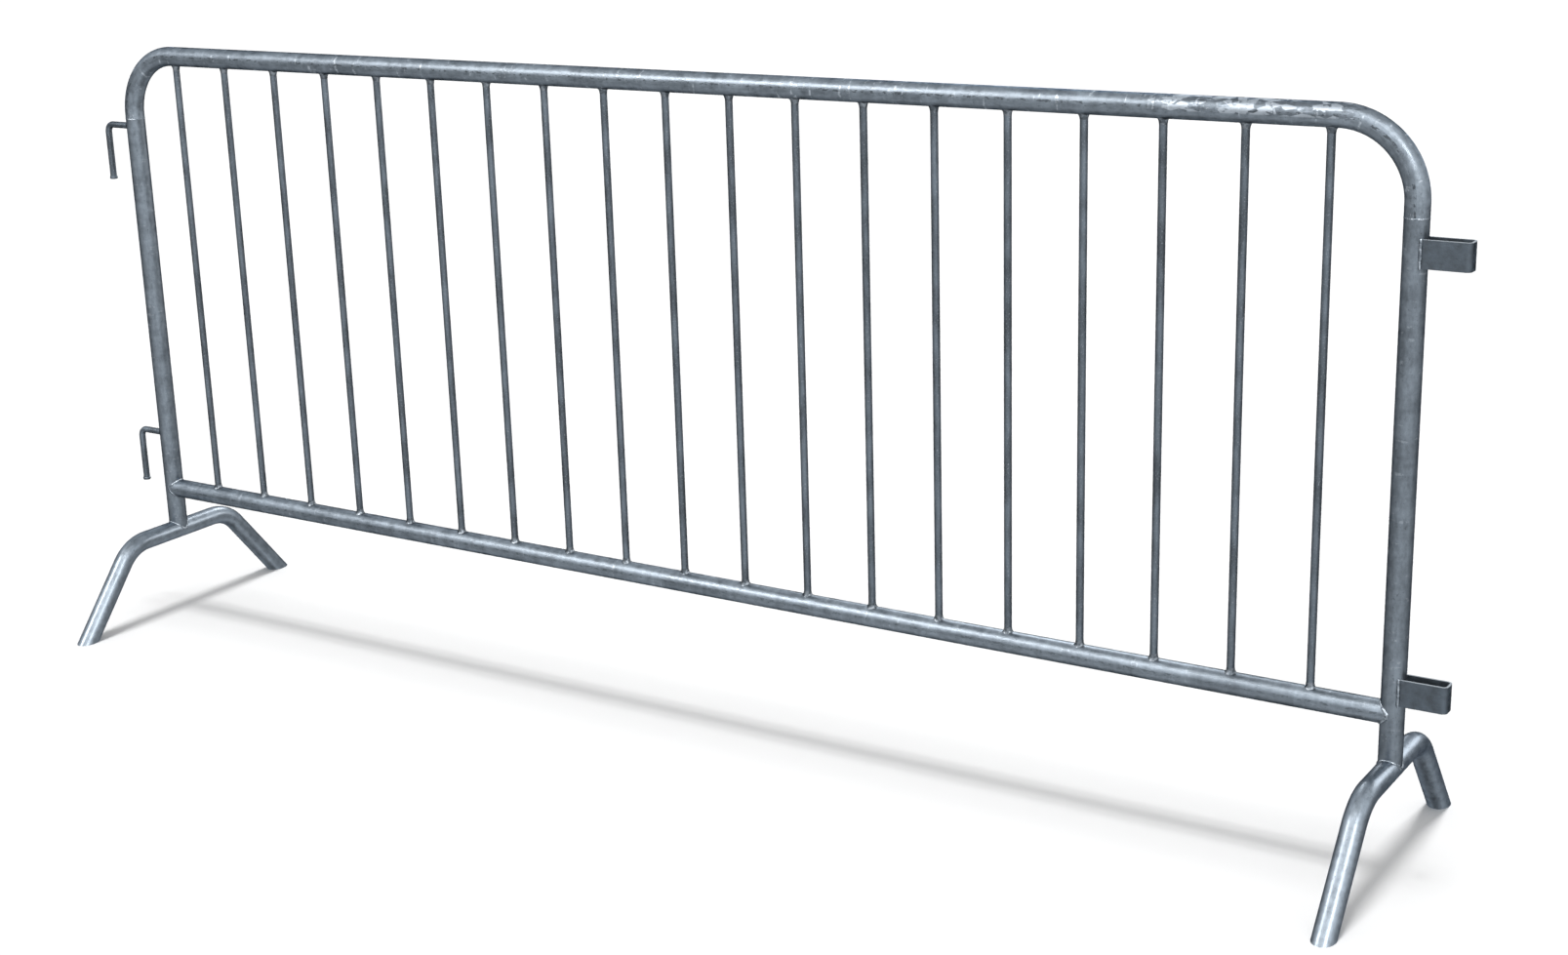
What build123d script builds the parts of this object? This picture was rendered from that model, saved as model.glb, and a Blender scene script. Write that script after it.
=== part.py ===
"""Fixed-leg crowd control barrier: a hot-dip galvanised, all-welded steel panel on two bridge feet.

Millimetres, +Z up, +X along the panel. The origin is on the ground, midway between the two end posts.
The front of the panel faces -Y, the hooks are on the left (-X) post and the loops on the right (+X) post.
"""
from math import sqrt
import os

from build123d import *

# Frame tube and panel
POST_SPACING = 2440.0        # between the axes of the two end posts
PANEL_HEIGHT = 1100.0        # ground to the top of the top rail
BOTTOM_RAIL_HEIGHT = 241.0   # ground to the axis of the bottom rail
TUBE_DIAMETER = 35.0
TUBE_WALL = 1.5
CORNER_RADIUS = 112.0        # centreline of the two bends in the top rail
LEFT_CORNER_TAIL = 7.0       # straight tube after the left bend, down to the joint with the post
RIGHT_CORNER_TAIL = 19.0     # the same on the right, where the tube was left longer

# Infill
BAR_COUNT = 19
BAR_DIAMETER = 12.0

# Bridge feet
FOOT_HEIGHT = 156.5          # ground to the axis of the foot's level part
FOOT_TOP_LENGTH = 250.0      # between the corners of the foot's centreline
FOOT_SPREAD = 507.0          # between the leg axes where they meet the ground
FOOT_BEND_RADIUS = 80.0      # centreline of each bend

# Hooks on the left post
HOOK_DIAMETER = 12.0
HOOK_REACH = 76.0            # post axis to the axis of the hook's leg
HOOK_DROP = 104.0            # arm axis to the tip
HOOK_BEND_RADIUS = 14.0
UPPER_HOOK_DEPTH = 14.5      # from the left rail joint down to the arm's axis
LOWER_HOOK_HEIGHT = 351.0    # ground to the arm's axis
KNOB_DIAMETER = 14.4         # upset tip of the leg
KNOB_HEIGHT = 6.0
KNOB_ROUND = 2.0

# Loops on the right post
STRIP_HEIGHT = 40.0
STRIP_THICKNESS = 3.0
LOOP_REACH = 80.0            # post axis to the outside of the loop's closed end
LOOP_GAP = 22.0              # between the strip's two sides
LOOP_INNER_RADIUS = 5.0
UPPER_LOOP_DEPTH = 46.5      # from the right rail joint down to the middle of the strip
LOWER_LOOP_HEIGHT = 278.0    # ground to the middle of the strip

# Welds
BUTT_WELD_WIDTH = 5.0
BUTT_WELD_CROWN = 1.1
TUBE_WELD_LEG = 2.6
TUBE_WELD_WIDTH = 6.0
BAR_WELD_LEG = 3.5
HOOK_WELD_LEG = 4.0
LOOP_WELD_RADIUS = 3.0
LOOP_WELD_OVERRUN = 2.0      # how far each loop weld runs past the strip's edges

# Vent holes for galvanising, hidden inside the joints
VENT_DIAMETER = 14.0

TUBE_RADIUS = TUBE_DIAMETER / 2
TUBE_BORE_RADIUS = TUBE_RADIUS - TUBE_WALL
TOP_RAIL_HEIGHT = PANEL_HEIGHT - TUBE_RADIUS
LEFT_SEAM_HEIGHT = TOP_RAIL_HEIGHT - CORNER_RADIUS - LEFT_CORNER_TAIL
RIGHT_SEAM_HEIGHT = TOP_RAIL_HEIGHT - CORNER_RADIUS - RIGHT_CORNER_TAIL
UPPER_HOOK_HEIGHT = LEFT_SEAM_HEIGHT - UPPER_HOOK_DEPTH
UPPER_LOOP_HEIGHT = RIGHT_SEAM_HEIGHT - UPPER_LOOP_DEPTH
LEFT_X = -POST_SPACING / 2
RIGHT_X = POST_SPACING / 2
BAR_PITCH = POST_SPACING / (BAR_COUNT + 1)
HALF_TOP = FOOT_TOP_LENGTH / 2
HALF_SPREAD = FOOT_SPREAD / 2
LOOP_HALF_WIDTH = LOOP_GAP / 2 + STRIP_THICKNESS

UNDER = (Align.CENTER, Align.CENTER, Align.MAX)
ABOVE = (Align.CENTER, Align.CENTER, Align.MIN)


def rod(start, end, radius):
    """A solid round bar between two points."""
    start, end = Vector(*start), Vector(*end)
    axis = end - start
    return Solid.make_cylinder(radius, axis.length, Plane(origin=start, z_dir=axis))


def bar_along(path, radius):
    """A solid round bar swept along a path."""
    section = Plane(origin=path @ 0, z_dir=path % 0)
    return sweep(section * Circle(radius), path=path)


def tube_along(path):
    """The frame tube swept along a path."""
    return bar_along(path, TUBE_RADIUS) - bar_along(path, TUBE_BORE_RADIUS)


def straight_tube(start, end):
    """A straight length of the frame tube."""
    return rod(start, end, TUBE_RADIUS) - rod(start, end, TUBE_BORE_RADIUS)


def post_core(x):
    """The space that an end post fills, for shaping what is fitted to it."""
    return rod((x, 0, 0), (x, 0, TOP_RAIL_HEIGHT), TUBE_RADIUS)


def foot_core(x):
    """The space that the level part of a foot fills."""
    return rod((x, -HALF_TOP, FOOT_HEIGHT), (x, HALF_TOP, FOOT_HEIGHT), TUBE_RADIUS)


def bottom_rail_core():
    """The space that the bottom rail fills."""
    return rod((LEFT_X, 0, BOTTOM_RAIL_HEIGHT), (RIGHT_X, 0, BOTTOM_RAIL_HEIGHT), TUBE_RADIUS)


def bar_x(index):
    return LEFT_X + (index + 1) * BAR_PITCH


def top_rail_path():
    """The centreline of the top rail, with a bend and a short tail at each end."""
    points = [
        (LEFT_X, 0, LEFT_SEAM_HEIGHT),
        (LEFT_X, 0, TOP_RAIL_HEIGHT),
        (RIGHT_X, 0, TOP_RAIL_HEIGHT),
        (RIGHT_X, 0, RIGHT_SEAM_HEIGHT),
    ]
    return FilletPolyline(*points, radius=CORNER_RADIUS)


def post(x, seam_height, inward):
    """An end post, coped onto its foot, with the vent into the bottom rail."""
    body = straight_tube((x, 0, FOOT_HEIGHT), (x, 0, seam_height)) - foot_core(x)
    vent_start = (x, 0, BOTTOM_RAIL_HEIGHT)
    vent_end = (x + inward * TUBE_DIAMETER, 0, BOTTOM_RAIL_HEIGHT)
    return body - rod(vent_start, vent_end, VENT_DIAMETER / 2)


def bottom_rail():
    """The bottom rail, coped to both posts."""
    body = straight_tube((LEFT_X, 0, BOTTOM_RAIL_HEIGHT), (RIGHT_X, 0, BOTTOM_RAIL_HEIGHT))
    return body - post_core(LEFT_X) - post_core(RIGHT_X)


def top_rail_height(x):
    """The height of the top rail's axis at x, which is lower inside the two bends."""
    into_bend = max(0, CORNER_RADIUS - (RIGHT_X - abs(x)))
    return TOP_RAIL_HEIGHT - CORNER_RADIUS + sqrt(CORNER_RADIUS ** 2 - into_bend ** 2)


def infill_bar(index, top_rail_core):
    """One upright, shaped to the two rails at its ends."""
    x = bar_x(index)
    body = rod((x, 0, BOTTOM_RAIL_HEIGHT), (x, 0, TOP_RAIL_HEIGHT), BAR_DIAMETER / 2)
    return (body - bottom_rail_core() - top_rail_core).solids().sort_by(Axis.Z)[0]


def foot(x):
    """A bridge foot: one tube with two bends, cut off level with the ground."""
    below = TUBE_DIAMETER
    reach = HALF_SPREAD + below * (HALF_SPREAD - HALF_TOP) / FOOT_HEIGHT
    points = [
        (x, -reach, -below),
        (x, -HALF_TOP, FOOT_HEIGHT),
        (x, HALF_TOP, FOOT_HEIGHT),
        (x, reach, -below),
    ]
    body = tube_along(FilletPolyline(*points, radius=FOOT_BEND_RADIUS))
    ground = Pos(x, 0, 0) * Box(FOOT_SPREAD, 2 * FOOT_SPREAD, FOOT_SPREAD, align=UNDER)
    vent = rod((x, 0, FOOT_HEIGHT), (x, 0, FOOT_HEIGHT + TUBE_DIAMETER), VENT_DIAMETER / 2)
    return body - ground - vent


def hook(height):
    """A round-rod hook that points down beside the left post, with an upset tip."""
    leg_x = LEFT_X - HOOK_REACH
    tip = height - HOOK_DROP
    points = [(LEFT_X, 0, height), (leg_x, 0, height), (leg_x, 0, tip + KNOB_HEIGHT)]
    path = FilletPolyline(*points, radius=HOOK_BEND_RADIUS)
    knob = Cylinder(KNOB_DIAMETER / 2, KNOB_HEIGHT, align=ABOVE)
    knob = fillet(knob.edges().filter_by(GeomType.CIRCLE), KNOB_ROUND)
    return bar_along(path, HOOK_DIAMETER / 2) - post_core(LEFT_X) + Pos(leg_x, 0, tip) * knob


def loop(height):
    """A flat strip bent into a U, its two ends shaped to the right post."""
    low = height - STRIP_HEIGHT / 2
    outer = strip_outline(LOOP_REACH, LOOP_HALF_WIDTH, LOOP_INNER_RADIUS + STRIP_THICKNESS)
    inner = strip_outline(LOOP_REACH - STRIP_THICKNESS, LOOP_GAP / 2, LOOP_INNER_RADIUS)
    strip = extrude(Pos(RIGHT_X, 0, low) * (outer - inner), STRIP_HEIGHT)
    return strip - post_core(RIGHT_X)


def strip_outline(reach, half_width, radius):
    """The plan of one face of the loop: square at the post, rounded at the closed end."""
    flat = Pos(reach / 2, 0) * Rectangle(reach, 2 * half_width)
    return fillet(flat.vertices().group_by(Axis.X)[-1], radius)


def butt_weld(x, seam_height):
    """The raised bead around the joint between the top rail and a post."""
    half = BUTT_WELD_WIDTH / 2
    crown = ThreePointArc((TUBE_RADIUS, -half), (TUBE_RADIUS + BUTT_WELD_CROWN, 0), (TUBE_RADIUS, half))
    base = Line((TUBE_RADIUS, half), (TUBE_RADIUS, -half))
    profile = Plane.XZ * make_face(crown + base)
    return Pos(x, 0, seam_height) * revolve(profile, Axis.Z)


def tube_weld():
    """The weld of a branch tube along +X to a run tube along Z, at the origin."""
    reach = TUBE_DIAMETER
    padded = TUBE_RADIUS + TUBE_WELD_LEG
    branch_end = (reach, 0, 0)
    run_ends = (0, 0, -reach), (0, 0, reach)
    near_both = rod((0, 0, 0), branch_end, padded) & rod(*run_ends, padded)
    bead = near_both & tube_weld_band(reach)
    return bead - rod((0, 0, 0), branch_end, TUBE_RADIUS) - rod(*run_ends, TUBE_RADIUS)


def tube_weld_band(reach):
    """Two slabs in a V that follow the saddle where the two tubes meet."""
    slab = Box(2 * reach, 2 * reach, TUBE_WELD_WIDTH, align=(Align.MIN, Align.CENTER, Align.CENTER))
    upper = Rot(0, -45, 0) * slab & Box(2 * reach, 2 * reach, 2 * reach, align=ABOVE)
    lower = Rot(0, 45, 0) * slab & Box(2 * reach, 2 * reach, 2 * reach, align=UNDER)
    return upper + lower


def weld_collar(rod_radius, leg):
    """A collar round a rod along +Z, from the axis of the tube that it stands on to the top of the weld."""
    foot_radius = rod_radius + leg
    top = TUBE_RADIUS + leg
    corners = [(rod_radius, 0), (foot_radius, 0), (foot_radius, TUBE_RADIUS), (rod_radius, top)]
    return revolve(Plane.XZ * make_face(Polyline(*corners, close=True)), Axis.Z)


def bottom_bar_weld(index):
    """The fillet round the lower end of one upright."""
    collar = weld_collar(BAR_DIAMETER / 2, BAR_WELD_LEG)
    return Pos(bar_x(index), 0, BOTTOM_RAIL_HEIGHT) * collar - bottom_rail_core()


def top_bar_weld(index, top_rail_core):
    """The fillet round the upper end of one upright."""
    collar = Rot(180, 0, 0) * weld_collar(BAR_DIAMETER / 2, BAR_WELD_LEG)
    x = bar_x(index)
    return Pos(x, 0, top_rail_height(x)) * collar - top_rail_core


def hook_weld(height):
    """The fillet round a hook's arm on the left post."""
    collar = Rot(0, -90, 0) * weld_collar(HOOK_DIAMETER / 2, HOOK_WELD_LEG)
    return Pos(LEFT_X, 0, height) * collar - post_core(LEFT_X)


def loop_welds(height):
    """The two upright beads that hold a loop's ends to the right post."""
    end_x = sqrt(TUBE_RADIUS ** 2 - LOOP_HALF_WIDTH ** 2)
    length = STRIP_HEIGHT + 2 * LOOP_WELD_OVERRUN
    strip = loop(height)
    beads = []
    for side in (-1, 1):
        bead = Pos(RIGHT_X + end_x, side * LOOP_HALF_WIDTH, height) * Cylinder(LOOP_WELD_RADIUS, length)
        beads.append(bead - post_core(RIGHT_X) - strip - loop_slot(height, length))
    return beads


def loop_slot(height, length):
    """The space between a loop's sides, kept clear of weld."""
    return Pos(RIGHT_X, 0, height) * Box(2 * LOOP_REACH, LOOP_GAP, 2 * length)


def build():
    """Every piece of the barrier by its node name."""
    top_rail_core = bar_along(top_rail_path(), TUBE_RADIUS)
    pieces = {
        "top_rail": tube_along(top_rail_path()),
        "bottom_rail": bottom_rail(),
        "left_post": post(LEFT_X, LEFT_SEAM_HEIGHT, 1),
        "right_post": post(RIGHT_X, RIGHT_SEAM_HEIGHT, -1),
        "left_foot": foot(LEFT_X),
        "right_foot": foot(RIGHT_X),
        "upper_hook": hook(UPPER_HOOK_HEIGHT),
        "lower_hook": hook(LOWER_HOOK_HEIGHT),
        "upper_loop": loop(UPPER_LOOP_HEIGHT),
        "lower_loop": loop(LOWER_LOOP_HEIGHT),
        "left_top_rail_weld": butt_weld(LEFT_X, LEFT_SEAM_HEIGHT),
        "right_top_rail_weld": butt_weld(RIGHT_X, RIGHT_SEAM_HEIGHT),
        "left_bottom_rail_weld": Pos(LEFT_X, 0, BOTTOM_RAIL_HEIGHT) * tube_weld(),
        "right_bottom_rail_weld": Pos(RIGHT_X, 0, BOTTOM_RAIL_HEIGHT) * Rot(0, 0, 180) * tube_weld(),
        "left_foot_weld": Pos(LEFT_X, 0, FOOT_HEIGHT) * Rot(90, 0, 0) * Rot(0, 0, 90) * tube_weld(),
        "right_foot_weld": Pos(RIGHT_X, 0, FOOT_HEIGHT) * Rot(90, 0, 0) * Rot(0, 0, 90) * tube_weld(),
        "upper_hook_weld": hook_weld(UPPER_HOOK_HEIGHT),
        "lower_hook_weld": hook_weld(LOWER_HOOK_HEIGHT),
        "upper_loop_welds": loop_welds(UPPER_LOOP_HEIGHT),
        "lower_loop_welds": loop_welds(LOWER_LOOP_HEIGHT),
        "infill_bottom_welds": [bottom_bar_weld(index) for index in range(BAR_COUNT)],
        "infill_top_welds": [top_bar_weld(index, top_rail_core) for index in range(BAR_COUNT)],
    }
    for index in range(BAR_COUNT):
        pieces[f"infill_bar_{index + 1:02d}"] = infill_bar(index, top_rail_core)
    return pieces


def solids_of(shape):
    """All the solids in a shape or in a list of shapes."""
    if isinstance(shape, list):
        return [solid for item in shape for solid in item.solids()]
    return list(shape.solids())


os.makedirs("parts", exist_ok=True)
for name, shape in build().items():
    solids = solids_of(shape)
    whole = solids[0] if len(solids) == 1 else Compound(solids)
    export_step(whole, f"parts/{name}.step")
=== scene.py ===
"""A crowd control barrier in hot-dip galvanised steel: its tubes, welds and finishes, and its studio.

Metres, +Z up, +X along the panel. The front of the panel faces -Y, the hooks are on the left (-X) post.
"""
from math import atan, cos, hypot, pi, radians, sin, sqrt, tan

import bpy
import numpy as np
from mathutils import Matrix, Vector, noise

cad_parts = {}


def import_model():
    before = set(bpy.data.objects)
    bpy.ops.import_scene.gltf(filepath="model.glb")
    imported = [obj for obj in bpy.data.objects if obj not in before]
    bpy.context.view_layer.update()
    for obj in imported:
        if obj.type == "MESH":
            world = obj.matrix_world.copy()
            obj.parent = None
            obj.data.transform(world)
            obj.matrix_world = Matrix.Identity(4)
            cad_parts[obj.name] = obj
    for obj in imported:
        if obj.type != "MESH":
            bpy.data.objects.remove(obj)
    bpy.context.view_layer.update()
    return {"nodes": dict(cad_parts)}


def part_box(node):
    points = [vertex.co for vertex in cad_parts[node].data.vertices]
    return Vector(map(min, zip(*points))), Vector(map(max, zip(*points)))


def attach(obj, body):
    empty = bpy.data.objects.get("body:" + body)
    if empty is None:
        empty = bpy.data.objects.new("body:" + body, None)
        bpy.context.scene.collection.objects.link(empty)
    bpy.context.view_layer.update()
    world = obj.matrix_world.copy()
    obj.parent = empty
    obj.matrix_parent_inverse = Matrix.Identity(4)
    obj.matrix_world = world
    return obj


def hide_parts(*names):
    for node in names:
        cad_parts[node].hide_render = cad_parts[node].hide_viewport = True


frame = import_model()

X_AXIS = Vector((1, 0, 0))
Y_AXIS = Vector((0, 1, 0))
Z_AXIS = Vector((0, 0, 1))

# Frame tube
TUBE_WALL = 0.0015
CORNER_RADIUS = 0.112
FOOT_BEND_RADIUS = 0.080
FOOT_HALF_TOP = 0.125
BELOW_GROUND = 0.04          # extra leg, cut off level with the ground
RING_POINTS = 48
BEND_STEPS = 28
STRAIGHT_STEP = 0.02         # longest stretch of tube between two rings
SMOOTH_ANGLE = radians(40)
MERGE_DISTANCE = 1e-6
LEVEL_TOLERANCE = 1e-5       # how near the ground a cut edge lies
ANGLE_ROUNDS = 20            # rounds that settle a foot's leg angle

# Welds
BUTT_BEAD_RADIUS = 0.0022
BUTT_BEAD_SINK = 0.0019      # how deep the bead's centre lies under the tube's surface
SADDLE_BEAD_RADIUS = 0.0030
SADDLE_BEAD_PROUD = -0.0012  # how far the bead's centre lies off both tubes
BUTT_BEAD_POINTS = 180
SADDLE_BEAD_POINTS = 200
LOOP_BEAD_POINTS = 61
BEAD_BEVEL = 3
RIPPLE_PITCH = 0.0034        # from one ripple of a bead to the next
RIPPLE_SHARE = 0.035         # how much a ripple thickens the bead, as a share of its radius
SWELL_SHARE = 0.10           # the same for the slow swelling along it
SWELL_FREQUENCY = 130
WANDER_SHARE = 0.16          # how far the bead strays from its line, as a share of its radius
WANDER_FREQUENCY = 120
THIN_END = 0.02              # square of the least share of its radius that an open bead's end keeps
END_POWER = 8                # how suddenly an open bead's ends round off
COLLAR_POINTS = 24
COLLAR_NOISE = 0.0004        # height of a collar's lumps
COLLAR_SIDE_NOISE = 3        # how much stronger the lumps are sideways
COLLAR_FREQUENCY = 260
COLLAR_SEED_STEP = 3.3
TOP_COLLAR_SEED = 50
BAR_COLLAR = ((0.0090, 0.0), (0.0078, 0.0010), (0.0070, 0.0026), (0.0064, 0.0052), (0.0060, 0.0090))
HOOK_COLLAR = ((0.0098, 0.0), (0.0090, 0.0016), (0.0080, 0.0032), (0.0068, 0.0046), (0.0060, 0.0056))
LOOP_BEAD_RADIUS = 0.0024
LOOP_BEAD_OVERRUN = 0.002
LOOP_BEAD_PROUD = 0.0006     # how far the bead's centre lies off the post
LOOP_BEAD_SPREAD = 1.03      # its distance from the middle, as a share of the strip's

# Camera
CAMERA_PLACE = (2.1662, -3.0385, 1.5245)
CAMERA_AIM = (0.2043, 0.0, 0.4527)
CAMERA_ROLL = radians(1.68)
CAMERA_LENS = 53.46
SENSOR_WIDTH = 36.0
FARTHEST_SEEN = 200

# Finish
EDGE_TINT = (0.02, 0.03, 0.05, 1)        # reflection where the steel is seen edge on: dark
FOOT_EDGE_TINT = (0.22, 0.24, 0.28, 1)
ZINC_BRIGHT = 0.75
ZINC_DARK = 0.08
CLOUDS = ((1, 1, 1), 30, 5, 0.62)        # patterns: stretch along and across the tube, then the
MOTTLE = ((0.55, 1, 1), 170, 4, 0.68)    # scale, detail and roughness of the noise
RINGS = ((1, 0.10, 0.10), 85, 4, 0.6)
RUNS = ((0.05, 1, 1), 190, 2, 0.5)
TICKS = ((1, 0.30, 0.30), 130, 2, 0.4)
PITS = ((0.7, 1, 1), 330, 3, 0.6)
GRAIN_SCALE = 900
FLAKE_SCALE = 120
TONE_WEIGHTS = (0.34, 0.30, 0.16, 0.12, 0.08)    # of clouds, mottle, rings, runs and grain
SHINE_WEIGHTS = (0.5, 0.5)                       # of mottle and clouds
RELIEF_WEIGHTS = (0.4, 0.5, 0.12, 0.8)           # of rings, mottle, grain and clouds
PATCHES = (2.20, 2.47)       # stretch of the top rail, along its tube, with bright flakes
STEP = (2.14, 2.30)          # stretch of the bottom rail with a darker tone
STEP_SHARE = 0.35
# painted shade: a dark speckled line along a rail's front, where its highlight ends below
SHADE_LINE_ANGLE = radians(6)     # above the middle of a rail's front
SHADE_LINE_WIDTH = radians(7)
RIM_HIGHLIGHT_DEPTH = 0.0005           # depth of the painted highlight along the top edge of a loop's strip
# grey of that painted highlight, pale and not metallic
RIM_HIGHLIGHT_GREY = 0.34
MIX_FIRST = 6                # a Mix node's sockets when it mixes colours: two in, one out
MIX_SECOND = 7
MIX_RESULT = 2

# Studio
FLOOR_SIZE = 80
FLOOR_WHITE = 0.8
FLOOR_FILL = 0.62            # even light on the floor
SHADOW_LIGHT_POWER = 2.25
SHADOW_LIGHT_ANGLE = radians(14)
ROOM_FRONT = (0.566, -0.824, 0.0)
ROOM_TINT = (0.97, 1.0, 1.03)
ROOM_BY_HEIGHT = (           # from straight below, 0, to straight above, 1
    (0.0, 0.30), (0.04, 0.55), (0.08, 1.2),
    (0.25, 0.75), (0.44, 0.56), (0.52, 0.80),
    (0.62, 1.4), (0.80, 1.6), (1.0, 1.0))
ROOM_BY_FACING = (           # from behind, 0, to the room's front, 1
    (0.0, 0.36), (0.05, 0.46), (0.15, 0.62),
    (0.45, 0.60), (0.62, 0.62), (0.80, 0.98), (1.0, 1.1))
SOFT_BOXES = (               # name, place, point that it faces, width, depth, power
    ("front_left_soft_box", (-3.2, -4.1, 4.4), (0, 0, 0.5), 0.6, 1.6, 100),
    ("front_right_soft_box", (4.6, -3.4, 3.8), (0.6, 0, 0.5), 0.6, 1.6, 72),
    ("overhead_soft_box", (0.6, -2.4, 4.2), (0, 0, 1), 3.4, 0.5, 30),
    ("back_soft_box", (-1.8, 4.5, 3.8), (0, 0, 0.6), 1.2, 1.6, 70),
    ("low_back_soft_box", (2.3, 3.2, 1.5), (1.2, 0, 0.15), 1.6, 1.4, 22),
)

# Places and sizes that follow the frame


def middle(node):
    """The middle of a CAD node's box."""
    low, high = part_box(node)
    return (low + high) / 2


def width_x(node):
    """The width of a CAD node's box along X."""
    low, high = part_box(node)
    return high.x - low.x


TUBE_RADIUS = width_x("left_post") / 2
BAR_RADIUS = width_x("infill_bar_01") / 2
LEFT_X = middle("left_post").x
RIGHT_X = middle("right_post").x
TOP_RAIL_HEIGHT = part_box("top_rail")[1].z - TUBE_RADIUS
BOTTOM_RAIL_HEIGHT = middle("bottom_rail").z
FOOT_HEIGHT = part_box("left_foot")[1].z - TUBE_RADIUS
LEFT_SEAM_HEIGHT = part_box("left_post")[1].z
RIGHT_SEAM_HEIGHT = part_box("right_post")[1].z
BAR_NODES = sorted(name for name in frame["nodes"] if name.startswith("infill_bar_"))
BAR_PLACES = [middle(name).x for name in BAR_NODES]


def deselect():
    """Leaves edit mode with nothing selected."""
    if bpy.context.object and bpy.context.object.mode != "OBJECT":
        bpy.ops.object.mode_set(mode="OBJECT")
    bpy.ops.object.select_all(action="DESELECT")


def keep(piece, slot, *nodes):
    """Ties a finished piece to the frame and hides the CAD nodes that it stands for; its slot is not used.
    """
    piece.data.name = piece.name
    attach(piece, "root")
    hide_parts(*nodes)
    return piece


# Tubes


class TubeRun:
    """A tube drawn out of one ring, and the centreline that it follows."""

    def __init__(self, name, start, heading, bend_axis):
        self.place = Vector(start)
        self.heading = Vector(heading).normalized()
        self.bend_axis = Vector(bend_axis)
        self.length = 0.0
        self.stations = []
        deselect()
        turn = Z_AXIS.rotation_difference(self.heading).to_euler()
        bpy.ops.mesh.primitive_circle_add(
            vertices=RING_POINTS, radius=TUBE_RADIUS, location=self.place, rotation=turn)
        self.tube = bpy.context.object
        self.tube.name = name
        bpy.ops.object.mode_set(mode="EDIT")
        bpy.ops.mesh.select_all(action="SELECT")
        self.note()

    def note(self):
        """Keeps the end ring's centre, its directions and its distance along the tube."""
        across = self.bend_axis.cross(self.heading)
        self.stations.append((*self.place, *self.heading, *self.bend_axis, *across, self.length))

    def straight(self, length):
        """Extrudes the end ring in a straight line."""
        steps = max(1, round(length / STRAIGHT_STEP))
        step = self.heading * (length / steps)
        for _ in range(steps):
            bpy.ops.mesh.extrude_region_move(TRANSFORM_OT_translate={"value": tuple(step)})
            self.place = self.place + step
            self.length += length / steps
            self.note()

    def bend(self, angle, radius):
        """Spins the end ring round the bend's centre; the operator's own angle runs the other way."""
        side = 1 if angle > 0 else -1
        centre = self.place + self.bend_axis.cross(self.heading) * radius * side
        bpy.ops.mesh.spin(steps=BEND_STEPS, angle=-angle, center=tuple(centre), axis=tuple(self.bend_axis))
        turn = Matrix.Rotation(angle / BEND_STEPS, 3, self.bend_axis)
        for _ in range(BEND_STEPS):
            self.place = centre + turn @ (self.place - centre)
            self.heading = turn @ self.heading
            self.length += abs(angle) / BEND_STEPS * radius
            self.note()

    def give_wall(self):
        """Leaves edit mode with a wall of even thickness inside the drawn surface."""
        bpy.ops.mesh.select_all(action="SELECT")
        bpy.ops.mesh.remove_doubles(threshold=MERGE_DISTANCE)
        bpy.ops.mesh.normals_make_consistent(inside=False)
        bpy.ops.object.mode_set(mode="OBJECT")
        bpy.ops.object.transform_apply(location=True, rotation=True, scale=True)
        self.face_outwards()
        wall = self.tube.modifiers.new("wall", "SOLIDIFY")
        wall.thickness = TUBE_WALL
        wall.offset = -1
        bpy.ops.object.modifier_apply(modifier=wall.name)

    def face_outwards(self):
        """Turns the faces round if they point at the centreline."""
        mesh = self.tube.data
        face = mesh.polygons[0]
        stations = np.array(self.stations)
        nearest = np.argmin(np.linalg.norm(stations[:, :3] - np.array(face.center), axis=1))
        if face.normal.dot(face.center - Vector(stations[nearest, :3])) < 0:
            mesh.flip_normals()

    def finish(self, slot, *nodes):
        """Smooths the tube and gives each point its place in the tube as if it were straight."""
        mesh = self.tube.data
        points = np.array([v.co for v in mesh.vertices])
        stations = np.array(self.stations)
        gaps = np.linalg.norm(points[:, None, :] - stations[None, :, :3], axis=2)
        near = stations[gaps.argmin(axis=1)]
        offset = points - near[:, :3]
        along = near[:, 12] + (offset * near[:, 3:6]).sum(axis=1)
        side = (offset * near[:, 6:9]).sum(axis=1)
        inward = (offset * near[:, 9:12]).sum(axis=1)
        attribute = mesh.attributes.new("run_place", "FLOAT_VECTOR", "POINT")
        run_places = np.stack([along, side, inward], axis=1).astype(np.float32)
        attribute.data.foreach_set("vector", run_places.ravel())
        deselect()
        self.tube.select_set(True)
        bpy.context.view_layer.objects.active = self.tube
        bpy.ops.object.shade_smooth_by_angle(angle=SMOOTH_ANGLE)
        return keep(self.tube, slot, *nodes)


def top_rail():
    """The top rail, with its two bends and the short tails down to the posts."""
    run = TubeRun("top_rail_tube", (LEFT_X, 0, LEFT_SEAM_HEIGHT), Z_AXIS, Y_AXIS)
    run.straight(TOP_RAIL_HEIGHT - CORNER_RADIUS - LEFT_SEAM_HEIGHT)
    run.bend(pi / 2, CORNER_RADIUS)
    run.straight(RIGHT_X - LEFT_X - 2 * CORNER_RADIUS)
    run.bend(pi / 2, CORNER_RADIUS)
    run.straight(TOP_RAIL_HEIGHT - CORNER_RADIUS - RIGHT_SEAM_HEIGHT)
    run.give_wall()
    return run.finish("galvanised_tube", "top_rail")


def bottom_rail():
    """The bottom rail, its ends shaped to the posts."""
    run = TubeRun("bottom_rail_tube", (LEFT_X, 0, BOTTOM_RAIL_HEIGHT), X_AXIS, Y_AXIS)
    run.straight(RIGHT_X - LEFT_X)
    run.give_wall()
    for vertex in run.tube.data.vertices:
        reach = sqrt(TUBE_RADIUS ** 2 - min(abs(vertex.co.y), TUBE_RADIUS) ** 2)
        vertex.co.x = min(max(vertex.co.x, LEFT_X + reach), RIGHT_X - reach)
    return run.finish("galvanised_tube", "bottom_rail")


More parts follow.
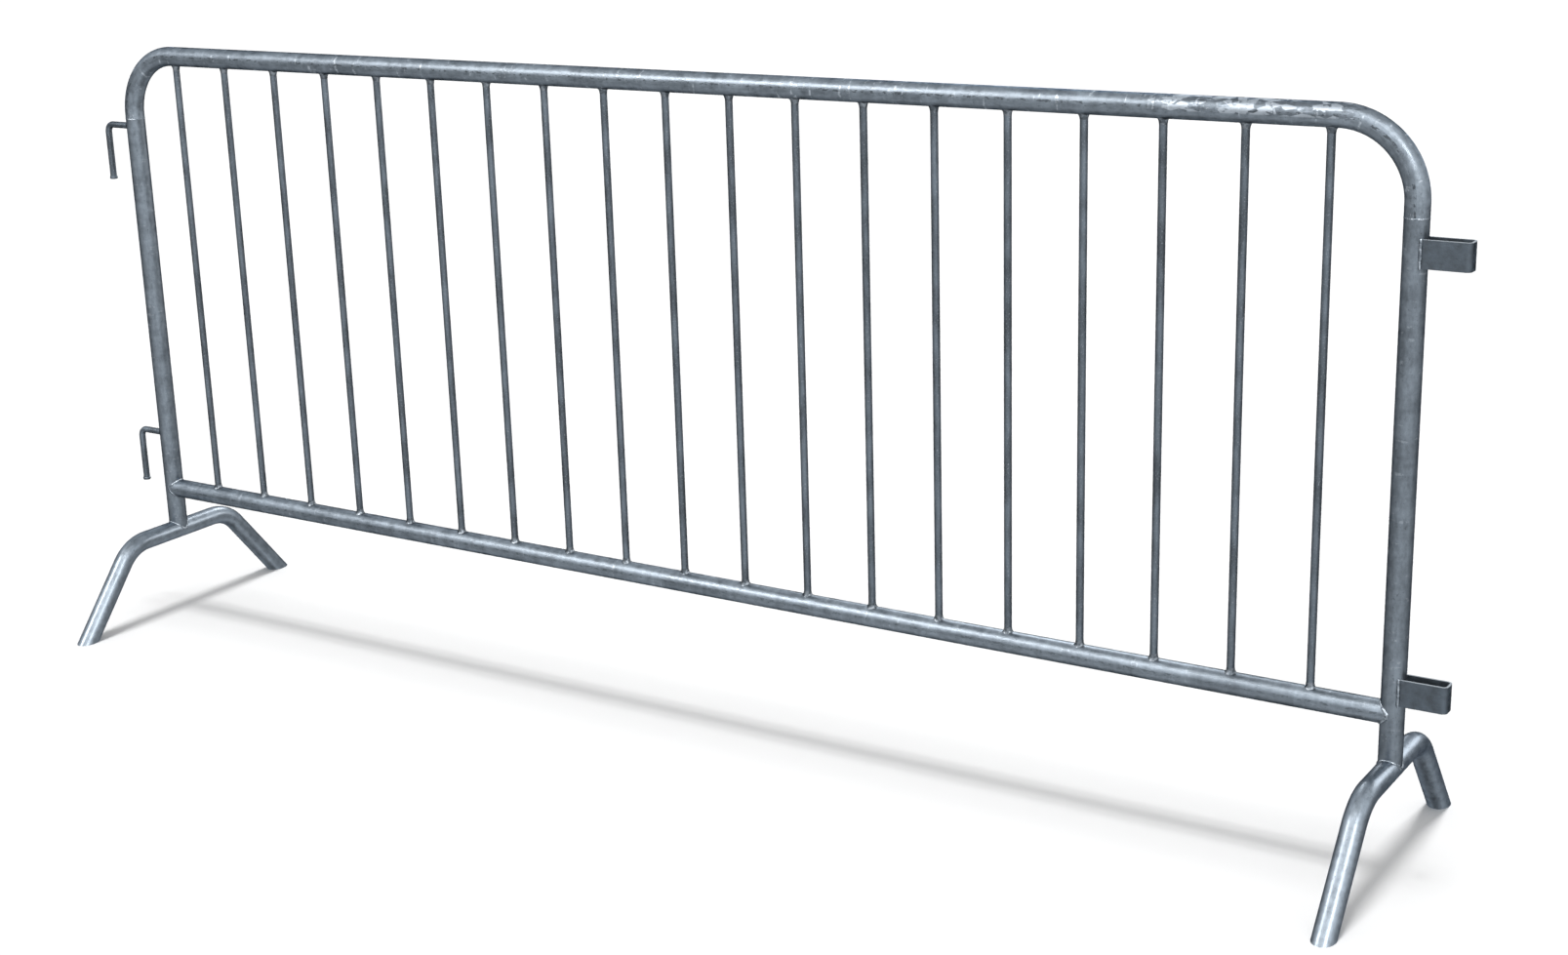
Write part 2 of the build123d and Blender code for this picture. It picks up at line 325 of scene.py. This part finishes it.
def post(name, x, seam_height):
    """An end post, its lower end shaped to the foot."""
    run = TubeRun(name + "_tube", (x, 0, FOOT_HEIGHT), Z_AXIS, Y_AXIS)
    run.straight(seam_height - FOOT_HEIGHT)
    run.give_wall()
    for vertex in run.tube.data.vertices:
        rise = sqrt(TUBE_RADIUS ** 2 - min(abs(vertex.co.x - x), TUBE_RADIUS) ** 2)
        vertex.co.z = max(vertex.co.z, FOOT_HEIGHT + rise)
    return run.finish("galvanised_tube", name)


def foot(name, x):
    """A bridge foot: one tube with two bends, cut off level with the ground."""
    angle = foot_angle(name)
    half_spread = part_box(name)[1].y - TUBE_RADIUS / sin(angle)
    tangent = FOOT_BEND_RADIUS * tan(angle / 2)
    leg = hypot(FOOT_HEIGHT, half_spread - FOOT_HALF_TOP) - tangent + BELOW_GROUND
    start = (x, -half_spread - BELOW_GROUND * cos(angle), -BELOW_GROUND * sin(angle))
    run = TubeRun(name + "_tube", start, (0, cos(angle), sin(angle)), X_AXIS)
    run.straight(leg)
    run.bend(-angle, FOOT_BEND_RADIUS)
    run.straight(2 * (FOOT_HALF_TOP - tangent))
    run.bend(-angle, FOOT_BEND_RADIUS)
    run.straight(leg)
    run.give_wall()
    cut_level(run.tube)
    return run.finish("galvanised_tube", name)


def foot_angle(name):
    """How steeply a foot's legs stand, from its spread and height."""
    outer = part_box(name)[1].y
    angle = atan(FOOT_HEIGHT / (outer - FOOT_HALF_TOP))
    for _ in range(ANGLE_ROUNDS):
        spread = outer - TUBE_RADIUS / sin(angle)
        angle = atan(FOOT_HEIGHT / (spread - FOOT_HALF_TOP))
    return angle


def cut_level(tube):
    """Cuts both legs off at the ground and closes the wall between the cut edges."""
    bpy.ops.object.mode_set(mode="EDIT")
    bpy.ops.mesh.select_all(action="SELECT")
    bpy.ops.mesh.bisect(plane_co=(0, 0, 0), plane_no=(0, 0, 1), clear_inner=True)
    for side in (-1, 1):
        bpy.ops.mesh.select_mode(type="EDGE")
        bpy.ops.mesh.select_all(action="DESELECT")
        bpy.ops.object.mode_set(mode="OBJECT")
        mesh = tube.data
        for edge in mesh.edges:
            ends = [mesh.vertices[i].co for i in edge.vertices]
            edge.select = all(abs(end.z) < LEVEL_TOLERANCE and end.y * side > 0 for end in ends)
        bpy.ops.object.mode_set(mode="EDIT")
        bpy.ops.mesh.bridge_edge_loops()
    bpy.ops.mesh.select_mode(type="VERT")
    bpy.ops.mesh.select_all(action="SELECT")
    bpy.ops.mesh.normals_make_consistent(inside=False)
    bpy.ops.object.mode_set(mode="OBJECT")


# Welds


def bead(name, points, radius, seed, closed):
    """A bead of weld along a line, rippled and uneven, as a hand lays it."""
    curve = bpy.data.curves.new(name, "CURVE")
    curve.dimensions = "3D"
    curve.bevel_depth = radius
    curve.bevel_resolution = BEAD_BEVEL
    curve.use_fill_caps = True
    spline = curve.splines.new("POLY")
    spline.points.add(len(points) - 1)
    travelled = 0.0
    last = Vector(points[0])
    for i, (point, place) in enumerate(zip(spline.points, points)):
        place = Vector(place)
        travelled += (place - last).length
        last = place
        ripple = RIPPLE_SHARE * sin(travelled * 2 * pi / RIPPLE_PITCH)
        swell = SWELL_SHARE * noise.noise(Vector((travelled * SWELL_FREQUENCY, seed, 0.5)))
        end = 1.0
        if not closed:
            end = sqrt(max(THIN_END, 1 - (2 * i / (len(points) - 1) - 1) ** END_POWER))
        stray = travelled * WANDER_FREQUENCY
        wander = Vector([noise.noise(Vector((stray, seed, layer))) for layer in (7.1, 3.7, 5.3)])
        point.co = (*(place + wander * radius * WANDER_SHARE), 1)
        point.radius = (1 + ripple + swell) * end
    spline.use_cyclic_u = closed
    line = bpy.data.objects.new(name, curve)
    bpy.context.scene.collection.objects.link(line)
    deselect()
    line.select_set(True)
    bpy.context.view_layer.objects.active = line
    bpy.ops.object.convert(target="MESH")
    solid = bpy.context.object
    bpy.ops.object.mode_set(mode="EDIT")
    bpy.ops.mesh.select_all(action="SELECT")
    bpy.ops.mesh.remove_doubles(threshold=MERGE_DISTANCE)
    bpy.ops.mesh.normals_make_consistent(inside=False)
    bpy.ops.object.mode_set(mode="OBJECT")
    bpy.ops.object.shade_smooth()
    return solid


def joined(name, parts):
    """Several beads of one CAD node as one piece."""
    deselect()
    for part in parts:
        part.select_set(True)
    bpy.context.view_layer.objects.active = parts[0]
    if len(parts) > 1:
        bpy.ops.object.join()
    whole = bpy.context.object
    whole.name = name
    return whole


def butt_bead(name, x, height, seed):
    """The bead round the joint between the top rail and a post."""
    radius = TUBE_RADIUS - BUTT_BEAD_SINK
    points = []
    for i in range(BUTT_BEAD_POINTS):
        angle = 2 * pi * i / BUTT_BEAD_POINTS
        points.append((x + radius * cos(angle), radius * sin(angle), height))
    ring = bead(name, points, BUTT_BEAD_RADIUS, seed, True)
    return keep(ring, "galvanised_weld", name.replace("_bead", "_weld"))


def saddle_bead(name, centre, branch, run, seed):
    """The bead where one frame tube stands on another: branch and run are their directions."""
    branch, run = Vector(branch), Vector(run)
    across = branch.cross(run)
    reach = TUBE_RADIUS + SADDLE_BEAD_PROUD
    points = []
    for i in range(SADDLE_BEAD_POINTS):
        angle = 2 * pi * i / SADDLE_BEAD_POINTS
        away = sqrt(max(0, reach ** 2 - (reach * sin(angle)) ** 2))
        away = max(away, SADDLE_BEAD_RADIUS)
        round_branch = across * reach * sin(angle) + run * reach * cos(angle)
        points.append(Vector(centre) + round_branch + branch * away)
    ring = bead(name, points, SADDLE_BEAD_RADIUS, seed, True)
    return keep(ring, "galvanised_weld", name.replace("_bead", "_weld"))


def collar(profile, seed):
    """A flared fillet of weld round a rod along +Z, on a tube along X whose axis is at the origin."""
    deselect()
    bpy.ops.mesh.primitive_circle_add(vertices=COLLAR_POINTS, radius=profile[0][0], location=(0, 0, 0))
    solid = bpy.context.object
    bpy.ops.object.mode_set(mode="EDIT")
    bpy.ops.mesh.select_all(action="SELECT")
    for (inner, low), (outer, high) in zip(profile, profile[1:]):
        bpy.ops.mesh.extrude_region_move(TRANSFORM_OT_translate={"value": (0, 0, high - low)})
        grow = outer / inner
        bpy.ops.transform.resize(value=(grow, grow, 1), center_override=(0, 0, high))
    bpy.ops.object.mode_set(mode="OBJECT")
    top = profile[-1][1]
    for vertex in solid.data.vertices:
        flat = Vector((vertex.co.x, vertex.co.y, 0))
        share = 1 - vertex.co.z / top
        lump = noise.noise(Vector((vertex.co.x * COLLAR_FREQUENCY, vertex.co.y * COLLAR_FREQUENCY,
                                   vertex.co.z * COLLAR_FREQUENCY + seed * COLLAR_SEED_STEP)))
        flat = flat * (1 + share * lump * COLLAR_NOISE * COLLAR_SIDE_NOISE / flat.length)
        rise = sqrt(TUBE_RADIUS ** 2 - flat.y ** 2)
        vertex.co = Vector((flat.x, flat.y, vertex.co.z + rise + share * lump * COLLAR_NOISE))
    subdivide = solid.modifiers.new("rounding", "SUBSURF")
    subdivide.levels = 1
    subdivide.render_levels = 1
    bpy.ops.object.modifier_apply(modifier=subdivide.name)
    bpy.ops.object.mode_set(mode="EDIT")
    bpy.ops.mesh.select_all(action="SELECT")
    bpy.ops.mesh.fill_holes(sides=0)
    bpy.ops.mesh.select_all(action="SELECT")
    bpy.ops.mesh.normals_make_consistent(inside=False)
    bpy.ops.object.mode_set(mode="OBJECT")
    bpy.ops.object.shade_smooth_by_angle(angle=SMOOTH_ANGLE)
    return solid


def bar_collars(name, height, upside_down, node):
    """The fillets at one end of all the infill bars."""
    parts = []
    for index, x in enumerate(BAR_PLACES):
        part = collar(BAR_COLLAR, index + (TOP_COLLAR_SEED if upside_down else 0))
        turn = Matrix.Rotation(pi if upside_down else 0, 4, "X")
        part.data.transform(Matrix.Translation((x, 0, height)) @ turn)
        parts.append(part)
    return keep(joined(name, parts), "galvanised_weld", node)


def hook_collar(name, node, height, seed):
    """The fillet round a hook's arm on the left post."""
    part = collar(HOOK_COLLAR, seed)
    part.data.transform(Matrix.Translation((LEFT_X, 0, height)) @ Matrix.Rotation(-pi / 2, 4, "Y"))
    part.name = name
    return keep(part, "galvanised_weld", node)


def loop_beads(name, loop_node, weld_node, seed):
    """The two upright beads that hold a loop's ends to the right post."""
    low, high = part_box(loop_node)
    parts = []
    for index, y in enumerate((low.y, high.y)):
        x = RIGHT_X + sqrt(TUBE_RADIUS ** 2 - y ** 2) + LOOP_BEAD_PROUD
        bottom = low.z - LOOP_BEAD_OVERRUN
        top = high.z + LOOP_BEAD_OVERRUN
        heights = np.linspace(bottom, top, LOOP_BEAD_POINTS)
        points = [(x, y * LOOP_BEAD_SPREAD, height) for height in heights]
        parts.append(bead(f"{name}_{index}", points, LOOP_BEAD_RADIUS, seed + index, False))
    return keep(joined(name, parts), "galvanised_weld", weld_node)


def hook_arm_height(node):
    """The height of a hook's arm, from the top of its box."""
    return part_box(node)[1].z - BAR_RADIUS


# Materials


class Finish:
    """A material, and short ways to add its nodes."""

    def __init__(self, name):
        self.material = bpy.data.materials.new(name)
        self.material.use_nodes = True
        self.tree = self.material.node_tree
        self.shader = self.tree.nodes["Principled BSDF"]

    def node(self, kind, **settings):
        """Adds a node and gives it its settings."""
        made = self.tree.nodes.new(kind)
        for setting, value in settings.items():
            setattr(made, setting, value)
        return made

    def set(self, socket, value):
        """Puts a number, a colour or another node's output on a socket."""
        if isinstance(value, bpy.types.NodeSocket):
            self.tree.links.new(value, socket)
        else:
            socket.default_value = value

    def above(self, value, limit):
        """1 where the value is over the limit and 0 elsewhere."""
        return self.math("GREATER_THAN", value, limit)

    def below(self, value, limit):
        """1 where the value is under the limit and 0 elsewhere."""
        return self.math("LESS_THAN", value, limit)

    def place(self, stretch, attribute=None, shift=0.0):
        """Where a point is, in metres, each direction multiplied by its own number, and shifted."""
        if attribute:
            source = self.node("ShaderNodeAttribute", attribute_name=attribute).outputs["Vector"]
        else:
            source = self.node("ShaderNodeTexCoord").outputs["Object"]
        mapping = self.node("ShaderNodeMapping")
        self.set(mapping.inputs["Vector"], source)
        self.set(mapping.inputs["Scale"], stretch)
        self.set(mapping.inputs["Location"], (shift, shift, shift))
        return mapping.outputs["Vector"]

    def noise(self, place, scale, detail=3.0, roughness=0.55):
        """Soft random greys."""
        made = self.node("ShaderNodeTexNoise")
        self.set(made.inputs["Vector"], place)
        self.set(made.inputs["Scale"], scale)
        self.set(made.inputs["Detail"], detail)
        self.set(made.inputs["Roughness"], roughness)
        return made.outputs["Fac"]

    def tube_noise(self, pattern, shift):
        """Noise that lies along the tube as if it were straight."""
        stretch, scale, detail, roughness = pattern
        return self.noise(self.place(stretch, "run_place", shift), scale, detail, roughness)

    def cells(self, place, scale):
        """Flat random patches, a different grey in each."""
        made = self.node("ShaderNodeTexVoronoi")
        self.set(made.inputs["Vector"], place)
        self.set(made.inputs["Scale"], scale)
        return self.split(made.outputs["Color"])[0]

    def split(self, vector):
        """The three numbers of a vector."""
        made = self.node("ShaderNodeSeparateXYZ")
        self.set(made.inputs[0], vector)
        return made.outputs[0], made.outputs[1], made.outputs[2]

    def math(self, operation, first, second=0.0, third=0.0):
        """One step of arithmetic."""
        made = self.node("ShaderNodeMath", operation=operation)
        self.set(made.inputs[0], first)
        self.set(made.inputs[1], second)
        self.set(made.inputs[2], third)
        return made.outputs[0]

    def weighted(self, values, weights):
        """The sum of the values, each multiplied by its own weight."""
        total = 0.0
        for value, weight in zip(values, weights):
            total = self.math("MULTIPLY_ADD", value, weight, total)
        return total

    def span(self, value, low, high, to_low=0.0, to_high=1.0):
        """Spreads the values from low to high over another range, and holds them outside it."""
        made = self.node("ShaderNodeMapRange")
        for socket, number in zip(made.inputs, (value, low, high, to_low, to_high)):
            self.set(socket, number)
        return made.outputs[0]

    def blend(self, share, first, second):
        """One colour turning into another."""
        made = self.node("ShaderNodeMix", data_type="RGBA")
        self.set(made.inputs[0], share)
        self.set(made.inputs[MIX_FIRST], first)
        self.set(made.inputs[MIX_SECOND], second)
        return made.outputs[MIX_RESULT]

    def bump(self, height, distance):
        """Relief on the surface, as deep as the distance in metres."""
        made = self.node("ShaderNodeBump")
        self.set(made.inputs["Height"], height)
        self.set(made.inputs["Distance"], distance)
        self.set(made.inputs["Strength"], 1.0)
        return made.outputs["Normal"]

    def finish(self, colour, roughness, normal, edge_tint=EDGE_TINT, metallic=1.0):
        """Puts the finish on the shader and hands over the material."""
        self.shader.inputs["Specular Tint"].default_value = edge_tint
        self.set(self.shader.inputs["Base Color"], colour)
        self.set(self.shader.inputs["Roughness"], roughness)
        self.set(self.shader.inputs["Normal"], normal)
        self.set(self.shader.inputs["Metallic"], metallic)
        return self.material


def grey(value, blue=1.10):
    """A cool grey: a little less red and more blue than its middle value."""
    return (value * (2 - blue), value, value * blue, 1)


def tube_finish(name, seed, tones, shine, relief, ticks=0.0, patches=None, step=None, painted_shade_line=0.0,
                edge_tint=EDGE_TINT):
    """Galvanised tube: cloudy mottling, faint rings across it, dark pits, a painted shade line on a rail's
    front.

    Tones are its darkest and lightest grey and shine its least and greatest roughness. Relief is the depth
    of the zinc's waves, ticks the strength of short bright marks and one more that of the painted shade
    line.
    Patches and step are stretches of the tube, from and to, with bright flakes and with a darker tone.
    """
    f = Finish(name)
    place = f.node("ShaderNodeAttribute", attribute_name="run_place").outputs["Vector"]
    along, side, inward = f.split(place)
    clouds = f.tube_noise(CLOUDS, seed)
    mottle = f.tube_noise(MOTTLE, seed + 1)
    rings = f.tube_noise(RINGS, seed + 2)
    runs = f.tube_noise(RUNS, seed + 3)
    grain = f.noise(place, GRAIN_SCALE, 2, 0.5)
    tone = f.weighted((clouds, mottle, rings, runs, grain), TONE_WEIGHTS)
    colour = f.blend(f.span(tone, 0.40, 0.60), grey(tones[0]), grey(tones[1]))
    if ticks:
        marks = f.tube_noise(TICKS, seed + 4)
        mark_share = f.math("MULTIPLY", f.span(marks, 0.66, 0.70), f.span(mottle, 0.44, 0.56))
        colour = f.blend(f.math("MULTIPLY", mark_share, ticks), colour, grey(ZINC_BRIGHT, 1.05))
    pits = f.tube_noise(PITS, seed + 5)
    colour = f.blend(f.span(pits, 0.63, 0.70, 0, 0.5), colour, grey(ZINC_DARK))
    if painted_shade_line:
        # painted shade: a dark speckled line along a rail's front, just above its middle, below the
        # highlight
        round_front = f.math("ARCTAN2", f.math("MULTIPLY", inward, -1), f.math("MULTIPLY", side, -1))
        line = f.math("COMPARE", round_front, SHADE_LINE_ANGLE, SHADE_LINE_WIDTH)
        shade_share = f.math("MULTIPLY", line, f.span(mottle, 0.50, 0.58, 0, painted_shade_line))
        colour = f.blend(shade_share, colour, grey(ZINC_DARK))
    if patches:
        flakes = f.cells(f.place((0.5, 1.2, 1.2), "run_place", seed + 6), FLAKE_SCALE)
        ragged = f.math("MULTIPLY_ADD", mottle, 1.6, f.math("SUBTRACT", flakes, 0.8))
        frayed = f.math("MULTIPLY_ADD", mottle, 0.10, along)
        here = f.math("MULTIPLY", f.above(frayed, patches[0]), f.below(frayed, patches[1]))
        here = f.math("MULTIPLY", here, f.span(inward, 0.004, 0.002))
        dull = f.math("MULTIPLY", here, f.span(ragged, 0.40, 0.35, 0, 0.35))
        bright = f.math("MULTIPLY", here, f.span(ragged, 0.53, 0.56, 0, 0.5))
        colour = f.blend(dull, colour, grey(ZINC_DARK))
        colour = f.blend(bright, colour, grey(ZINC_BRIGHT, 1.05))
    if step:
        here = f.math("MULTIPLY", f.above(along, step[0]), f.below(along, step[1]))
        colour = f.blend(f.math("MULTIPLY", here, STEP_SHARE), colour, grey(tones[0]))
    dulled = f.weighted((mottle, clouds), SHINE_WEIGHTS)
    roughness = f.span(dulled, 0.38, 0.62, *shine)
    height = f.weighted((rings, mottle, grain, clouds), RELIEF_WEIGHTS)
    return f.finish(colour, roughness, f.bump(height, relief), edge_tint)


def rod_finish():
    """Galvanised rod: darker and shinier than the tube, with small pale specks."""
    f = Finish("galvanised_rod")
    place = f.place((1, 1, 1))
    cloud = f.noise(f.place((1, 1, 0.3)), 60, 4)
    speck = f.noise(place, 500, 3, 0.6)
    colour = f.blend(f.span(cloud, 0.35, 0.65), grey(0.14), grey(0.25, 1.12))
    colour = f.blend(f.span(speck, 0.60, 0.68, 0, 0.6), colour, grey(0.6, 1.05))
    roughness = f.span(cloud, 0.3, 0.7, 0.24, 0.36)
    return f.finish(colour, roughness, f.bump(speck, 0.0004))


def strip_finish():
    """Galvanised strip: flat, dark and even, with a painted highlight along its top edges."""
    f = Finish("galvanised_strip")
    place = f.place((1, 1, 1))
    cloud = f.noise(place, 70, 4)
    speck = f.noise(place, 600, 2)
    colour = f.blend(f.span(cloud, 0.35, 0.65), grey(0.12), grey(0.17, 1.14))
    roughness = f.span(cloud, 0.3, 0.7, 0.42, 0.54)
    height = f.split(place)[2]
    # painted highlight: a pale, non-metallic line along the top edge of each loop's strip
    rim_highlight = f.math("COMPARE", height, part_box("upper_loop")[1].z, RIM_HIGHLIGHT_DEPTH)
    rim_highlight = f.math("ADD", rim_highlight, f.math("COMPARE", height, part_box("lower_loop")[1].z, RIM_HIGHLIGHT_DEPTH))
    colour = f.blend(rim_highlight, colour, grey(RIM_HIGHLIGHT_GREY))
    return f.finish(colour, roughness, f.bump(speck, 0.0003), metallic=f.math("SUBTRACT", 1, rim_highlight))


def weld_finish(name, dark, light):
    """Zinc over weld metal, lumpy and shiny, between two greys."""
    f = Finish(name)
    place = f.place((1, 1, 1))
    lumps = f.noise(place, 300, 3)
    cloud = f.noise(place, 130, 3)
    colour = f.blend(f.span(cloud, 0.42, 0.60), grey(dark), grey(light, 1.06))
    roughness = f.span(lumps, 0.3, 0.7, 0.24, 0.40)
    return f.finish(colour, roughness, f.bump(lumps, 0.0006))


def paint(material, objects):
    """Gives objects one material."""
    for piece in objects:
        piece.data.materials.clear()
        piece.data.materials.append(material)


# Studio


def floor():
    """A plain white floor that keeps a soft shadow."""
    deselect()
    bpy.ops.mesh.primitive_plane_add(size=FLOOR_SIZE, location=(0, 0, 0))
    sheet = bpy.context.object
    sheet.name = "studio_floor"
    f = Finish("floor_white")
    f.set(f.shader.inputs["Base Color"], (FLOOR_WHITE, FLOOR_WHITE, FLOOR_WHITE, 1))
    f.set(f.shader.inputs["Roughness"], 1.0)
    f.set(f.shader.inputs["Specular IOR Level"], 0.0)
    paint(f.material, [sheet])
    sheet.visible_glossy = False


def world():
    """White to the camera and even light for the floor; for what shines, a room brighter in front."""
    room = bpy.data.worlds.new("studio")
    bpy.context.scene.world = room
    room.use_nodes = True
    tree = room.node_tree
    out = tree.nodes["World Output"]
    shown = tree.nodes["Background"]
    where = tree.nodes.new("ShaderNodeTexCoord")
    split = tree.nodes.new("ShaderNodeSeparateXYZ")
    tree.links.new(where.outputs["Generated"], split.inputs[0])
    height = tree.nodes.new("ShaderNodeMapRange")
    height.inputs["From Min"].default_value = -1
    tree.links.new(split.outputs["Z"], height.inputs["Value"])
    up = tree.nodes.new("ShaderNodeValToRGB")
    tree.links.new(height.outputs["Result"], up.inputs["Fac"])
    stops(up.color_ramp, ROOM_BY_HEIGHT)
    toward = tree.nodes.new("ShaderNodeVectorMath")
    toward.operation = "DOT_PRODUCT"
    tree.links.new(where.outputs["Generated"], toward.inputs[0])
    toward.inputs[1].default_value = ROOM_FRONT
    facing = tree.nodes.new("ShaderNodeMapRange")
    facing.inputs["From Min"].default_value = -1
    tree.links.new(toward.outputs["Value"], facing.inputs["Value"])
    round_room = tree.nodes.new("ShaderNodeValToRGB")
    tree.links.new(facing.outputs["Result"], round_room.inputs["Fac"])
    stops(round_room.color_ramp, ROOM_BY_FACING)
    both = tree.nodes.new("ShaderNodeMix")
    both.data_type = "RGBA"
    both.blend_type = "MULTIPLY"
    both.inputs[0].default_value = 1
    tree.links.new(up.outputs["Color"], both.inputs[MIX_FIRST])
    tree.links.new(round_room.outputs["Color"], both.inputs[MIX_SECOND])
    tree.links.new(both.outputs[MIX_RESULT], shown.inputs["Color"])
    path = tree.nodes.new("ShaderNodeLightPath")
    last = shown.outputs["Background"]
    for ray, strength in (("Is Diffuse Ray", FLOOR_FILL), ("Is Camera Ray", 1.0)):
        plain = tree.nodes.new("ShaderNodeBackground")
        plain.inputs["Color"].default_value = (1, 1, 1, 1)
        plain.inputs["Strength"].default_value = strength
        mix = tree.nodes.new("ShaderNodeMixShader")
        tree.links.new(path.outputs[ray], mix.inputs["Fac"])
        tree.links.new(last, mix.inputs[1])
        tree.links.new(plain.outputs["Background"], mix.inputs[2])
        last = mix.outputs["Shader"]
    tree.links.new(last, out.inputs["Surface"])


def stops(ramp, greys):
    """Sets a ramp from pairs of position and grey."""
    while len(ramp.elements) < len(greys):
        ramp.elements.new(0.5)
    for stop, (position, value) in zip(ramp.elements, greys):
        stop.position = position
        stop.color = (value * ROOM_TINT[0], value * ROOM_TINT[1], value * ROOM_TINT[2], 1)


def area_light(name, place, aim, width, depth, power):
    """A soft box that only shows in what shines, at a place and turned to face a point."""
    light = bpy.data.lights.new(name, "AREA")
    light.shape = "RECTANGLE"
    light.size = width
    light.size_y = depth
    light.energy = power
    lamp = bpy.data.objects.new(name, light)
    bpy.context.scene.collection.objects.link(lamp)
    lamp.location = place
    lamp.rotation_euler = (Vector(aim) - Vector(place)).to_track_quat("-Z", "Y").to_euler()
    lamp.visible_diffuse = False
    lamp.visible_camera = False


def lights():
    """Soft boxes for the shine on the steel, and a light straight above that casts the shadow."""
    for name, place, aim, width, depth, power in SOFT_BOXES:
        area_light(name, place, aim, width, depth, power)
    light = bpy.data.lights.new("shadow_light", "SUN")
    light.energy = SHADOW_LIGHT_POWER
    light.angle = SHADOW_LIGHT_ANGLE
    lamp = bpy.data.objects.new("shadow_light", light)
    bpy.context.scene.collection.objects.link(lamp)
    lamp.visible_glossy = False


def camera():
    """The camera, from the right and above, turned a little about its own line of sight."""
    lens = bpy.data.cameras.new("camera")
    lens.lens = CAMERA_LENS
    lens.sensor_width = SENSOR_WIDTH
    lens.clip_end = FARTHEST_SEEN
    seat = bpy.data.objects.new("camera", lens)
    bpy.context.scene.collection.objects.link(seat)
    place = Vector(CAMERA_PLACE)
    look = (Vector(CAMERA_AIM) - place).to_track_quat("-Z", "Y").to_matrix().to_4x4()
    seat.matrix_world = Matrix.Translation(place) @ look @ Matrix.Rotation(-CAMERA_ROLL, 4, "Z")
    bpy.context.scene.camera = seat


tubes = [
    top_rail(),
    bottom_rail(),
    post("left_post", LEFT_X, LEFT_SEAM_HEIGHT),
    post("right_post", RIGHT_X, RIGHT_SEAM_HEIGHT),
    foot("left_foot", LEFT_X),
    foot("right_foot", RIGHT_X),
]
beads = [
    butt_bead("left_top_rail_bead", LEFT_X, LEFT_SEAM_HEIGHT, 1),
    butt_bead("right_top_rail_bead", RIGHT_X, RIGHT_SEAM_HEIGHT, 2),
    saddle_bead("left_bottom_rail_bead", (LEFT_X, 0, BOTTOM_RAIL_HEIGHT), X_AXIS, Z_AXIS, 3),
    saddle_bead("right_bottom_rail_bead", (RIGHT_X, 0, BOTTOM_RAIL_HEIGHT), -X_AXIS, Z_AXIS, 4),
    saddle_bead("left_foot_bead", (LEFT_X, 0, FOOT_HEIGHT), Z_AXIS, Y_AXIS, 5),
    saddle_bead("right_foot_bead", (RIGHT_X, 0, FOOT_HEIGHT), Z_AXIS, Y_AXIS, 6),
    loop_beads("upper_loop_beads", "upper_loop", "upper_loop_welds", 9),
    loop_beads("lower_loop_beads", "lower_loop", "lower_loop_welds", 11),
]
collars = [
    bar_collars("bar_bottom_collars", BOTTOM_RAIL_HEIGHT, False, "infill_bottom_welds"),
    bar_collars("bar_top_collars", TOP_RAIL_HEIGHT, True, "infill_top_welds"),
    hook_collar("upper_hook_collar", "upper_hook_weld", hook_arm_height("upper_hook"), 7),
    hook_collar("lower_hook_collar", "lower_hook_weld", hook_arm_height("lower_hook"), 8),
]
nodes = frame["nodes"]
tube_finishes = [
    tube_finish("galvanised_top_rail", seed=1, tones=(0.20, 0.40), shine=(0.32, 0.48), relief=0.0007,
                ticks=0.7, patches=PATCHES, painted_shade_line=0.85),
    tube_finish("galvanised_bottom_rail", seed=11, tones=(0.21, 0.42), shine=(0.30, 0.46), relief=0.0006,
                ticks=0.3, step=STEP, painted_shade_line=0.6),
    tube_finish("galvanised_left_post", seed=21, tones=(0.22, 0.36), shine=(0.32, 0.46), relief=0.0006,
                ticks=0.25),
    tube_finish("galvanised_right_post", seed=25, tones=(0.20, 0.33), shine=(0.32, 0.46), relief=0.0006,
                ticks=0.25),
    tube_finish("galvanised_left_foot", seed=31, tones=(0.24, 0.42), shine=(0.28, 0.42), relief=0.0004,
                edge_tint=FOOT_EDGE_TINT),
    tube_finish("galvanised_right_foot", seed=37, tones=(0.25, 0.44), shine=(0.28, 0.42), relief=0.0004,
                edge_tint=FOOT_EDGE_TINT),
]
for tube, finish in zip(tubes, tube_finishes):
    paint(finish, [tube])
paint(weld_finish("galvanised_bead", 0.24, 0.55), beads)
paint(weld_finish("galvanised_collar", 0.13, 0.32), collars)
paint(rod_finish(), [nodes[name] for name in BAR_NODES + ["upper_hook", "lower_hook"]])
paint(strip_finish(), [nodes["upper_loop"], nodes["lower_loop"]])

floor()
world()
lights()
camera()
bpy.context.scene.view_settings.view_transform = "Standard"
